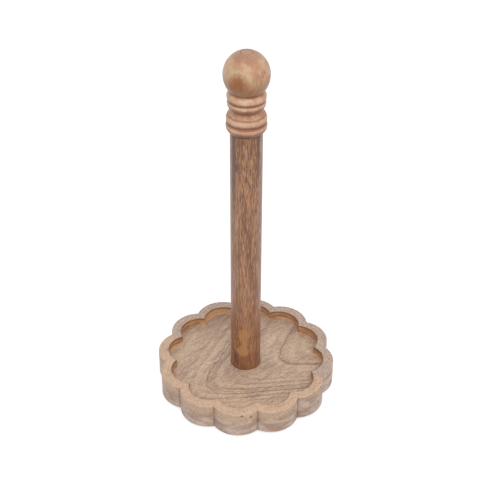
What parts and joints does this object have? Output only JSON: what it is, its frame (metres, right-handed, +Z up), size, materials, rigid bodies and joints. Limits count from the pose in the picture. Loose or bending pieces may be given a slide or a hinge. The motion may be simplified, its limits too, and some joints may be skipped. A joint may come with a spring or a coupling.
{
  "type": "paper towel holder",
  "caption": "Free-standing wooden paper towel holder: a scalloped tray with a shallow recess, a straight round post and a turned finial with beads and a ball.",
  "frame": {"origin": "centre of the tray, on the surface that the felt pads stand on", "axes": "+Z up along the post, -Y towards the front, +X and -Y each through the crown of a scallop"},
  "size_m": [0.16, 0.16, 0.33],
  "materials": {
    "tray_wood": "semi-gloss clear lacquer on light hardwood with dark heartwood bands",
    "post_wood": "semi-gloss clear lacquer on brown hardwood with fine straight grain",
    "finial_wood": "gloss clear lacquer on light hardwood",
    "plated_steel": "zinc plated",
    "felt": "pressed felt"
  },
  "bodies": {
    "root": {"base_tray": "tray_wood", "post": "post_wood", "finial": "finial_wood", "crown_plug": "finial_wood", "post_washer": "plated_steel", "post_screw": "plated_steel", "finial_screw": "plated_steel", "felt_pad_back_right": "felt", "felt_pad_back_left": "felt", "felt_pad_front_left": "felt", "felt_pad_front_right": "felt"}
  },
  "joints": []
}
